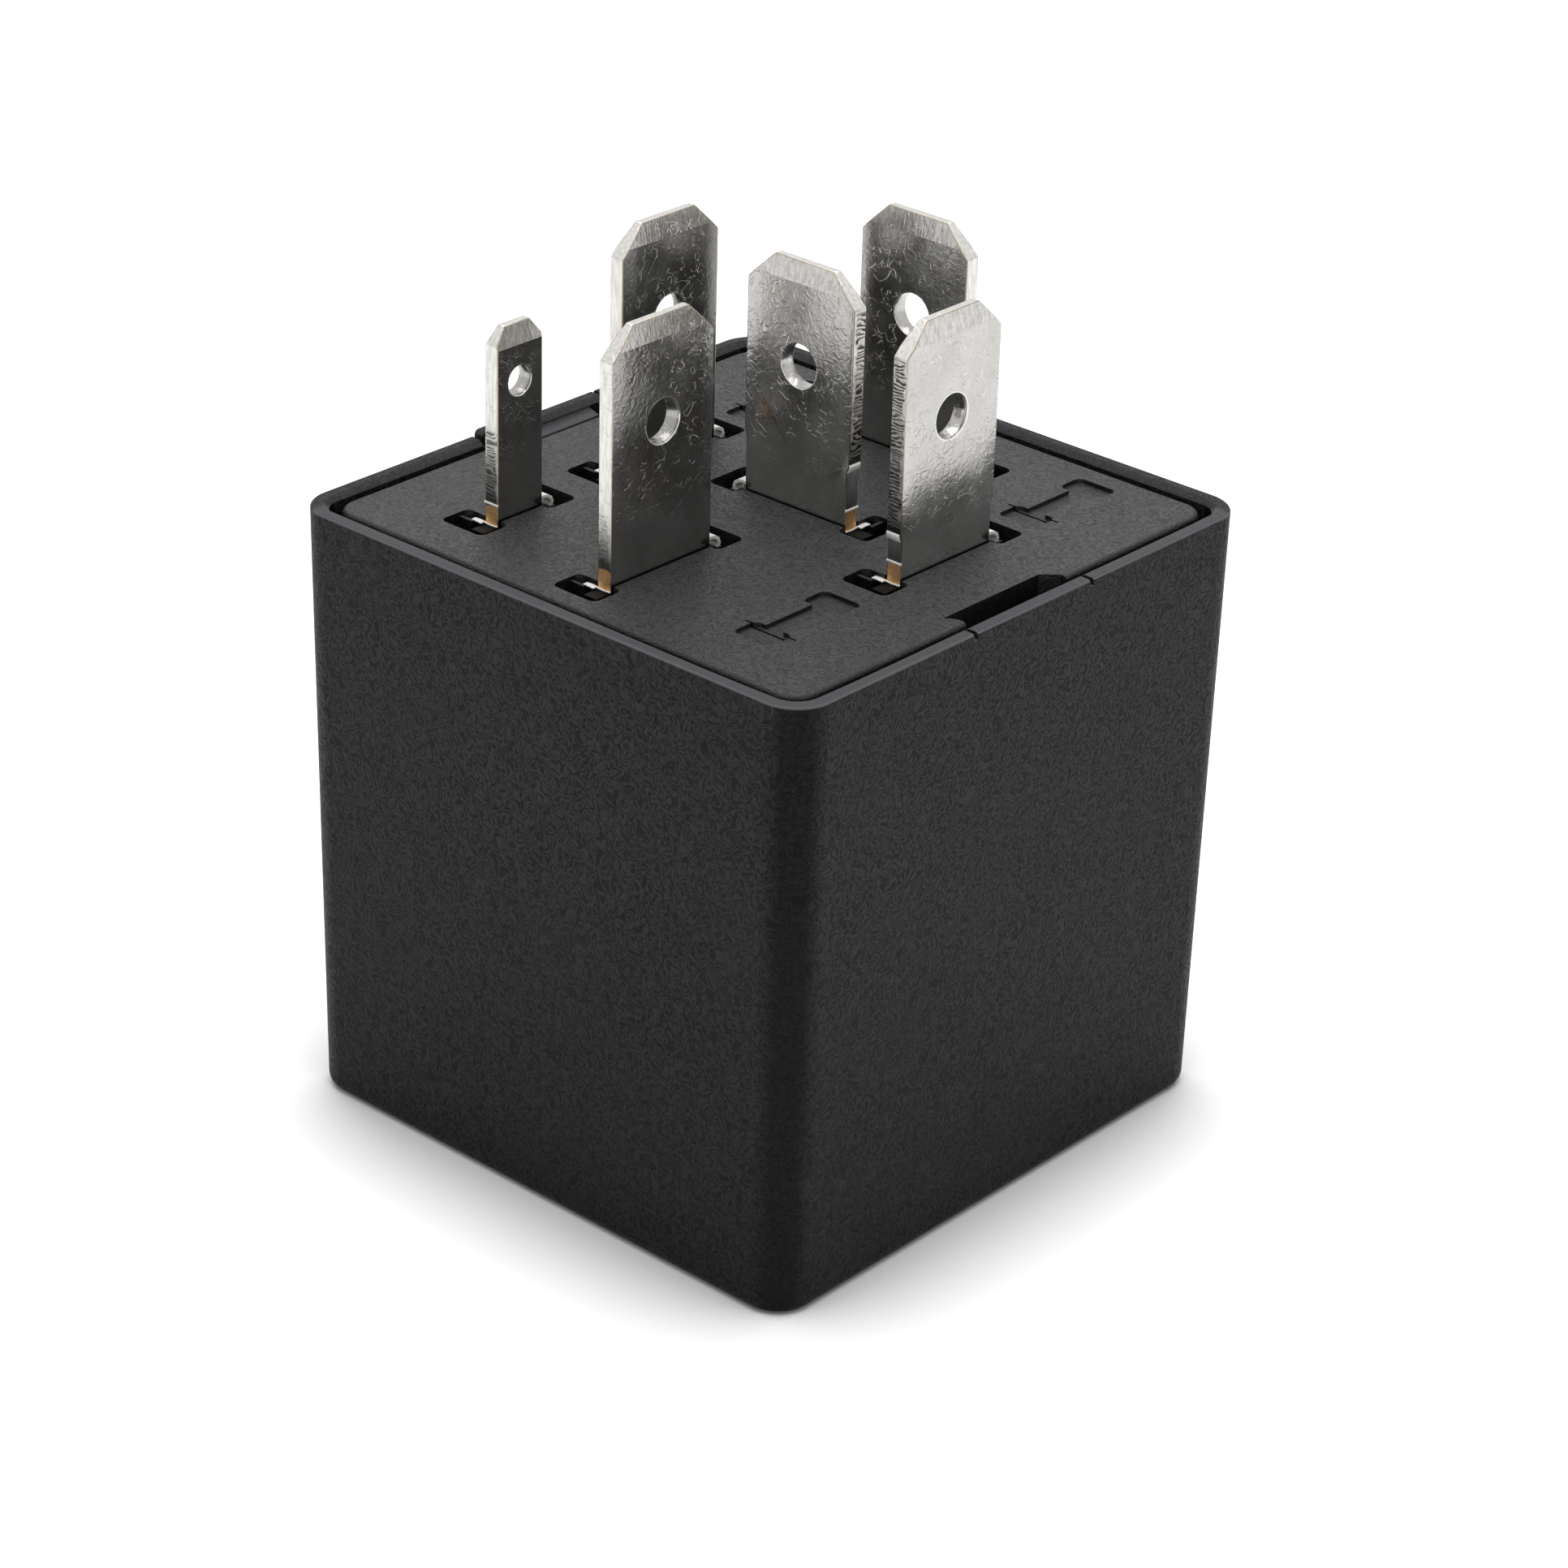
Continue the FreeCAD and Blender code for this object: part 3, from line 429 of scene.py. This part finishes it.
def blade_facts(name):
    low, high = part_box(name)
    size = high - low
    along = 0 if size.x > size.y else 1
    small = name == "terminal_signal"
    return {
        "along": along,
        "centre": (low + high) / 2 / mm,
        "near": 1 if along == 0 else -1,
        "half": (small_width if small else blade_width) / 2,
        "height": small_height if small else blade_height,
        "hole_r": small_hole_r if small else blade_hole_r,
        "hole_drop": small_hole_drop if small else blade_hole_drop,
    }


# One blade's graph: u runs along its width towards the near side, v through it and h up from the plate
class BladeGraph(Graph):
    def __init__(self, name):
        super().__init__("tinned_" + name)
        self.name = name
        self.facts = blade_facts(name)
        self.half, self.height = self.facts["half"], self.facts["height"]
        place = self.axes()
        turned = self.normal()
        along, centre = self.facts["along"], self.facts["centre"]
        across = 1 - along
        self.u = self.times(self.minus(place[along], centre[along]), self.facts["near"])
        self.v = self.minus(place[across], centre[across])
        self.h = self.minus(place[2], plate_top)
        self.facing = self.absolute(turned[across])
        self.find_faces()
        self.cloud = self.noise(0.45, 3.0, 0.55)
        self.fine = self.noise(6.0, 2.0, 0.6)
        self.strokes = self.noise(1.4, 2.0, 0.5, 0.3, stretch=(6.0, 6.0, 0.9))
        self.marks = self.light_scratches()

    def find_faces(self):
        self.broad_face = self.span(self.facing, 0.5, 0.95)
        ends = self.above(self.absolute(self.u), self.half - 0.3)
        self.ends = self.larger(ends, self.above(self.h, self.height - 1.5))
        self.side = self.times(self.ends, self.minus(1.0, self.broad_face))
        self.near_side = self.times(self.side, self.above(self.u, 0.0))
        self.tip = self.times(self.above(self.h, self.height - lead_in_high), self.broad_face)
        ragged = self.ragged(self.h, 3.0, 0.08)
        copper = self.span(ragged, copper_top - 0.05, copper_top + 0.05, 1.0, 0.0)
        self.foot = self.times(self.near_side, copper)

    def ragged(self, value, scale, reach, detail=2.0):
        return self.plus(value, self.span(self.noise(scale, detail), 0.3, 0.7, -reach, reach))

    def squiggles(self, scale, width):
        flow = self.noise(scale, 1.0, 0.5, 0.9)
        line = self.span(self.absolute(self.minus(flow, 0.5)), 0.0, width, 1.0, 0.0)
        return self.times(line, self.span(self.noise(scale * 0.8, 1.0), 0.5, 0.58))

    def light_scratches(self):
        marks = self.larger(self.squiggles(0.9, 0.012), self.squiggles(1.9, 0.02))
        return self.times(marks, self.span(self.h, 1.5, 5.0, 0.25, 1.0))

    # Rolled tin, cloudy, with short light scratches
    def rolled_tin(self):
        tint = tin_level[self.name]
        color = self.mix(self.span(self.cloud, 0.3, 0.7), shade((0.46, 0.45, 0.43), tint),
                         shade((0.56, 0.55, 0.53), tint))
        color = self.mix(self.span(self.fine, 0.35, 0.7, 0.0, 0.28), color, shade((0.3, 0.29, 0.27), tint))
        return self.mix(self.times(self.marks, 0.4 * crinkled[self.name]), color, (0.8, 0.79, 0.76))

    # Brushed lead-in at the tip, and the sheared narrow sides
    def cut_faces(self, color):
        brushed = self.mix(self.span(self.strokes, 0.35, 0.65), (0.42, 0.41, 0.39), (0.64, 0.63, 0.6))
        color = self.mix(self.times(self.tip, 0.75), color, brushed)
        sheared = self.mix(self.span(self.strokes, 0.3, 0.7), (0.55, 0.54, 0.51), (0.74, 0.73, 0.7))
        return self.mix(self.side, color, sheared)

    # Dark burr marks across the near side, on a brown smear that fades upwards
    def burr_marks(self, color):
        pitch, low, top, darkness, first, last = burrs[self.name]
        jitter = self.noise(1.3, 2.0, 0.6, stretch=(0.5, 0.5, 1.0))
        rung = self.math("FRACT", self.plus(self.times(self.h, pitch), self.times(jitter, 5.0)))
        rung = self.times(self.span(rung, 0.4, 0.6, 1.0, 0.0), self.span(jitter, 0.3, 0.5, 0.3, 1.0))
        wander = self.ragged(self.v, 2.5, 0.12, 1.0)
        rung = self.times(rung, self.between(wander, first, last))
        rung = self.times(rung, self.times(self.near_side, self.between(self.h, low, top)))
        smear = self.times(self.between(wander, first - 0.06, last + 0.06),
                           self.between(self.h, low - 0.1, top + 0.1))
        fading = self.span(self.h, low + 1.0, top, 0.55 * darkness, 0.2 * darkness)
        smear = self.times(self.times(smear, self.near_side), fading)
        color = self.mix(smear, color, (0.2, 0.175, 0.145))
        return self.mix(self.times(rung, darkness), color, (0.02, 0.018, 0.016))

    # Below its last marks the side has painted shade that deepens towards the plate, a painted shadow by
    # the shoulder over the neck, then bare copper where the strip was sheared off
    def sheared_foot(self, color):
        lowest_mark = burrs[self.name][1]
        # Painted shade on the near side towards the plate
        low_side_shade = self.times(self.near_side, self.span(self.h, copper_top + 0.3, lowest_mark + 0.5, 1.0, 0.0))
        color = self.mix(self.times(low_side_shade, 0.75), color, (0.1, 0.09, 0.075))
        if self.name in neck_marks:
            step = neck_marks[self.name]
            # Painted shadow just above the shoulder over the neck
            shadow = self.times(self.near_side, self.between(self.h, step + 0.2, step + 0.45))
            color = self.mix(self.times(shadow, 0.9), color, (0.02, 0.02, 0.02))
        copper = self.mix(self.span(self.fine, 0.3, 0.7), (0.62, 0.34, 0.13), (0.86, 0.56, 0.28))
        return self.mix(self.foot, color, copper)

    # Brown line where the rolled face meets the sheared side, painted shade down in the slot, and a
    # painted shadow on the broad faces just above the plate
    def seated(self, color):
        meeting = self.times(self.ends, self.between(self.facing, 0.3, 0.92))
        color = self.mix(self.times(meeting, 0.6), color, (0.3, 0.21, 0.13))
        # Painted shade: nearly black down in the slot and at the foot of the broad faces
        color = self.mix(self.span(self.h, -0.29, -0.2, 1.0, 0.0), color, (0.006, 0.005, 0.005))
        seat_shadow = self.times(self.broad_face, self.span(self.h, 0.03, 0.16, 0.85, 0.0))
        return self.mix(seat_shadow, color, (0.01, 0.01, 0.01))

    # Painted highlight: a bright ring around the hole, along its rounded edge
    def hole_highlight(self, color):
        radius = self.facts["hole_r"]
        rise = self.minus(self.h, self.height - self.facts["hole_drop"])
        away = self.math("SQRT", self.plus(self.times(self.u, self.u), self.times(rise, rise)))
        ring = self.span(away, radius + 0.06, radius + 0.12, 0.7, 0.0)
        ring = self.times(ring, self.above(away, radius + 0.01))
        return self.mix(ring, color, (0.85, 0.84, 0.8))

    def stain(self, color):
        away = self.plus(self.math("POWER", self.minus(self.u, stain_across), 2.0),
                         self.math("POWER", self.minus(self.h, stain_height), 2.0))
        spot = self.span(self.ragged(away, 2.0, 0.15), 0.0, 0.45, 0.6, 0.0)
        color = self.mix(spot, color, (0.28, 0.15, 0.07))
        slant = self.plus(self.times(self.minus(self.u, scratch_across), scratch_slope),
                          self.minus(self.h, scratch_height))
        scratch = self.span(self.absolute(slant), 0.02, 0.07, 1.0, 0.0)
        scratch = self.times(scratch, self.between(self.u, -2.5, -0.6))
        return self.mix(self.times(scratch, 0.5), color, (0.12, 0.1, 0.08))

    # Rolled-off edges, crinkles that bend the reflections, and fine grain
    def surface(self):
        from_edge = self.span(self.absolute(self.u), self.half - 0.9, self.half)
        normal = self.bump(self.math("POWER", from_edge, 2.0), -0.035)
        crinkle = self.noise(2.3, 2.0, 0.45, 1.4)
        amount = crinkled[self.name]
        normal = self.bump(crinkle, 0.014, self.span(self.h, 1.5, 6.0, 0.4 * amount, amount), normal)
        normal = self.bump(self.plus(self.marks, self.times(self.strokes, self.tip)), 0.006, 1.0, normal)
        return self.bump(self.fine, 0.003, 1.0, normal)

    def roughness(self):
        rough = self.plus(self.span(self.cloud, 0.3, 0.7, 0.15, 0.24), self.times(self.side, 0.12))
        return self.plus(rough, self.times(self.foot, 0.2))

    # Dry squiggles on the broad faces are a little less metallic
    def metallic(self):
        dry = self.times(self.larger(self.marks, self.squiggles(3.2, 0.04)), self.broad_face)
        return self.minus(0.96, self.times(dry, 0.06))


def tinned_blade(name):
    g = BladeGraph(name)
    color = g.cut_faces(g.rolled_tin())
    color = g.sheared_foot(g.burr_marks(color))
    color = g.hole_highlight(g.seated(color))
    if name == "terminal_supply":
        color = g.stain(color)
    g.set(Base_Color=color, Roughness=g.roughness(), Normal=g.surface(), Metallic=g.metallic())
    return g.material


# Softened copy of a solid: the same form, with its sharp edges rounded and its flat faces kept flat
def softened(name, width, material, is_flat):
    mesh = bpy.data.meshes.new(name + "_finished")
    shape = bmesh.new()
    shape.from_mesh(nodes[name].data)
    bmesh.ops.remove_doubles(shape, verts=shape.verts, dist=merge_reach * mm)
    bmesh.ops.dissolve_limit(shape, angle_limit=flat_angle, verts=shape.verts, edges=shape.edges)
    sharp = [edge for edge in shape.edges if len(edge.link_faces) == 2
             and edge.calc_face_angle(0.0) > sharp_angle]
    bmesh.ops.bevel(shape, geom=sharp, offset=width * mm, offset_type="OFFSET", segments=2, profile=0.5,
                    affect="EDGES", clamp_overlap=True)
    shape.normal_update()
    for face in shape.faces:
        face.smooth = not is_flat(face)
    shape.to_mesh(mesh)
    shape.free()
    mesh.materials.append(material)
    piece = bpy.data.objects.new(name + "_finished", mesh)
    bpy.context.scene.collection.objects.link(piece)
    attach(piece, "root")
    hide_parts(name)
    return piece


def squared(face):
    return max(abs(part) for part in face.normal) > math.cos(square_angle)


def broad(face):
    return face.calc_area() > broad_area * mm * mm


def finish_node(name, material):
    solid = nodes[name]
    solid.data.materials.clear()
    solid.data.materials.append(material)


# Small bent strips of tinned metal
def new_piece(name, mesh_builder, material):
    mesh = bpy.data.meshes.new(name)
    shape = bmesh.new()
    mesh_builder(shape)
    bmesh.ops.recalc_face_normals(shape, faces=shape.faces)
    shape.to_mesh(mesh)
    shape.free()
    for face in mesh.polygons:
        face.use_smooth = True
    mesh.materials.append(material)
    piece = bpy.data.objects.new(name, mesh)
    bpy.context.scene.collection.objects.link(piece)
    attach(piece, "root")
    return piece


def strip(shape, outline, thick, start, width, place):
    rings = []
    for index, point in enumerate(outline):
        before = outline[max(index - 1, 0)]
        after = outline[min(index + 1, len(outline) - 1)]
        run = Vector((after[0] - before[0], after[1] - before[1])).normalized()
        side = Vector((-run.y, run.x)) * thick / 2
        ring = []
        for sign, edge in ((1, start), (1, start + width), (-1, start + width), (-1, start)):
            ring.append(shape.verts.new(place(point[0] + sign * side.x, edge, point[1] + sign * side.y)))
        rings.append(ring)
    for low, high in zip(rings, rings[1:]):
        for corner in range(4):
            after = (corner + 1) % 4
            shape.faces.new((low[corner], low[after], high[after], high[corner]))
    shape.faces.new(rings[0])
    shape.faces.new(reversed(rings[-1]))


def blade_placer(facts):
    centre, along, near = facts["centre"], facts["along"], facts["near"]

    def place(u, v, h):
        spot = [0.0, 0.0, (plate_top + h) * mm]
        spot[along] = (centre[along] + near * u) * mm
        spot[1 - along] = (centre[1 - along] + v) * mm
        return spot
    return place


def neck_half(name, facts):
    return facts["half"] - (neck_depth if name in neck_marks else 0.0)


def soften(piece, width, segments=2):
    bevel = piece.modifiers.new("edges", "BEVEL")
    bevel.width = width * mm
    bevel.segments = segments
    bevel.limit_method = "ANGLE"
    bevel.angle_limit = lug_edge_angle


def near_lug(name, material):
    facts = blade_facts(name)
    place = blade_placer(facts)
    away = -1 if facts["along"] == 1 else 1
    front = neck_half(name, facts)

    def flat(u, v, h):
        return place(front + v, away * u, h)

    def build(shape):
        strip(shape, [(0.36, -0.22), (0.7, -0.2), (1.0, -0.22)], 0.07, 0.02, 0.3, flat)
        strip(shape, [(-0.42, -0.24), (0.0, -0.26), (0.4, -0.23)], 0.07, 0.01, 0.1, flat)
    piece = new_piece(name + "_near_lug", build, material)
    soften(piece, 0.02)


def far_lug(name, material):
    facts = blade_facts(name)
    place = blade_placer(facts)
    half = neck_half(name, facts)
    outline = [(0.0, 0.2), (0.2, 0.27), (0.48, 0.22), (0.72, 0.06), (0.8, -0.14), (0.72, -0.36)]

    def turned(u, v, h):
        return place(-(half - 0.02 + u), v, h)

    def build(shape):
        strip(shape, outline, 0.19, -0.32, 0.6, turned)
    piece = new_piece(name + "_far_lug", build, material)
    soften(piece, 0.035, 3)


def shear_lip(name, material):
    facts = blade_facts(name)
    place = blade_placer(facts)
    front = neck_half(name, facts)
    outline = [(-0.02, copper_top), (0.04, copper_top + 0.02), (0.04, copper_top + 0.07),
               (-0.02, copper_top + 0.1)]

    def build(shape):
        strip(shape, outline, 0.04, -0.42, 0.84, lambda u, v, h: place(front + u, v, h))
    new_piece(name + "_shear_lip", build, material)


def neck_chip(name, material):
    facts = blade_facts(name)
    place = blade_placer(facts)
    step = neck_marks[name]
    outline = [(-0.14, step - 0.2), (-0.02, step - 0.13), (0.03, step + 0.12), (-0.02, step + 0.18)]

    def build(shape):
        strip(shape, outline, 0.06, -0.38, 0.7, lambda u, v, h: place(facts["half"] + u, v, h))
    new_piece(name + "_neck_chip", build, material)


# Floor, world, lamp and camera
def floor_material():
    g = Graph("floor_white")
    tree = g.tree
    tree.nodes.remove(g.shader)
    out = tree.nodes["Material Output"]
    path = tree.nodes.new("ShaderNodeLightPath")
    seen = g.larger(path.outputs["Is Camera Ray"], path.outputs["Is Glossy Ray"])
    seen = g.larger(seen, path.outputs["Is Transmission Ray"])
    # Painted contact shadow: the floor's glow dims where ambient occlusion finds the object near
    near = g.node("ShaderNodeAmbientOcclusion", {"samples": 8}, Distance=contact_reach * mm)
    open_sky = g.span(near.outputs["AO"], contact_dark, contact_clear)
    diffuse = g.node("ShaderNodeBsdfDiffuse", Color=floor_color)
    glow = g.node("ShaderNodeEmission", Strength=g.times(seen, g.times(open_sky, floor_glow)))
    both = tree.nodes.new("ShaderNodeAddShader")
    g.put(both.inputs[0], diffuse.outputs[0])
    g.put(both.inputs[1], glow.outputs[0])
    g.put(out.inputs["Surface"], both.outputs[0])
    return g.material


def add_floor():
    mesh = bpy.data.meshes.new("floor")
    corners = [(-floor_half, -floor_half, 0), (floor_half, -floor_half, 0), (floor_half, floor_half, 0),
               (-floor_half, floor_half, 0)]
    mesh.from_pydata(corners, [], [(0, 1, 2, 3)])
    mesh.materials.append(floor_material())
    floor = bpy.data.objects.new("floor", mesh)
    bpy.context.scene.collection.objects.link(floor)


def add_world():
    world = bpy.data.worlds.new("studio")
    bpy.context.scene.world = world
    world.use_nodes = True
    tree = world.node_tree
    back = tree.nodes["Background"]
    back.inputs["Color"].default_value = (1.0, 1.0, 1.0, 1.0)
    path = tree.nodes.new("ShaderNodeLightPath")
    seen = tree.nodes.new("ShaderNodeMath")
    seen.operation = "MAXIMUM"
    tree.links.new(path.outputs["Is Camera Ray"], seen.inputs[0])
    tree.links.new(path.outputs["Is Glossy Ray"], seen.inputs[1])
    strength = tree.nodes.new("ShaderNodeMapRange")
    tree.links.new(seen.outputs[0], strength.inputs["Value"])
    strength.inputs["To Min"].default_value = world_light
    strength.inputs["To Max"].default_value = 1.0
    tree.links.new(strength.outputs["Result"], back.inputs["Strength"])


def add_lamp():
    lamp = bpy.data.lights.new("key", "AREA")
    lamp.shape = "SQUARE"
    lamp.size = lamp_size
    lamp.energy = lamp_power
    made = bpy.data.objects.new("key", lamp)
    bpy.context.scene.collection.objects.link(made)
    made.location = lamp_place
    made.rotation_euler = (Vector(lamp_aim) - Vector(lamp_place)).to_track_quat("-Z", "Y").to_euler()


def add_camera():
    a, e, r = view_azimuth, view_elevation, view_roll
    back = Vector((math.sin(a) * math.cos(e), -math.cos(a) * math.cos(e), math.sin(e)))
    right = Vector((math.cos(a), math.sin(a), 0))
    up = back.cross(right)
    spot = (back * view_distance + right * view_right + up * view_up) * mm
    x_axis = right * math.cos(r) + up * math.sin(r)
    y_axis = up * math.cos(r) - right * math.sin(r)
    data = bpy.data.cameras.new("camera")
    data.lens = view_lens
    data.sensor_width = sensor_width
    data.clip_start = 0.01
    camera = bpy.data.objects.new("camera", data)
    bpy.context.scene.collection.objects.link(camera)
    turn = Matrix((x_axis, y_axis, back)).transposed().to_4x4()
    camera.matrix_world = Matrix.Translation(spot) @ turn
    bpy.context.scene.camera = camera


# Every solid gets the finish of its slot
def slot_materials():
    zinc = plain_metal("zinc_plated_steel", (0.6, 0.62, 0.66), 0.34, (1.0, 1.0, 6.0))
    return {
        "housing_plastic": housing_plastic(),
        "base_plastic": base_plastic(),
        "board_laminate": board_laminate(),
        "solder": plain_metal("solder", (0.68, 0.68, 0.7), 0.2, scale=3.0, depth=0.01).material,
        "frame_plastic": simple_plastic("frame_plastic", (0.05, 0.05, 0.055), 0.5, 0.4).material,
        "zinc_plated_steel": zinc.material,
        "bobbin_plastic": simple_plastic("bobbin_plastic", (0.7, 0.66, 0.55), 0.35, 0.5).material,
        "enamelled_copper": enamelled_copper(),
        "bright_steel": plain_metal("bright_steel", (0.7, 0.7, 0.71), 0.22).material,
        "spring_bronze": plain_metal("spring_bronze", (0.7, 0.47, 0.25), 0.28, (6.0, 1.0, 1.0)).material,
        "silver_contact": plain_metal("silver_contact", (0.83, 0.82, 0.8), 0.16, scale=8.0).material,
        "strip_brass": plain_metal("strip_brass", (0.7, 0.55, 0.27), 0.27, (1.0, 6.0, 1.0)).material,
        "capacitor_sleeve": simple_plastic("capacitor_sleeve", (0.02, 0.03, 0.09), 0.3, 0.5).material,
        "film_case": simple_plastic("film_case", (0.5, 0.06, 0.03), 0.32, 0.5).material,
        "chip_epoxy": simple_plastic("chip_epoxy", (0.03, 0.03, 0.033), 0.55, 0.4, 9.0, 0.008).material,
        "diode_epoxy": leaded_body("diode_epoxy", (0.03, 0.03, 0.033), 0.45, 18.9, (0.6, 0.6, 0.6)),
        "diode_glass": leaded_body("diode_glass", (0.5, 0.16, 0.04), 0.12, 20.1, (0.01, 0.01, 0.01)),
        "resistor_lacquer": banded_lacquer(),
    }


finishes = slot_materials()
for part in frame["record"]["subparts"]:
    if part["node"] not in blade_names:
        finish_node(part["node"], finishes[part["material_slot"]])

can = softened("housing_can", can_edge, finishes["housing_plastic"], squared)
plate = softened("base_plate", plate_edge, finishes["base_plastic"], squared)
# Pale tin of the lugs, near-white and mostly diffuse: partly the tin's own colour, partly a painted sheen
# for its glints
lug_tin = plain_metal("lug_tin", (0.95, 0.94, 0.9), 0.5).set(Metallic=0.1)
for name in blade_names:
    tinned = tinned_blade(name)
    finish_node(name, tinned)
    softened(name, blade_edge, tinned, broad)
    near_lug(name, lug_tin)
    far_lug(name, lug_tin)
    if name != "terminal_motor":
        shear_lip(name, lug_tin)
    if name in neck_marks:
        neck_chip(name, lug_tin)

bpy.context.scene.view_settings.view_transform = "Standard"
add_floor()
add_world()
add_lamp()
add_camera()
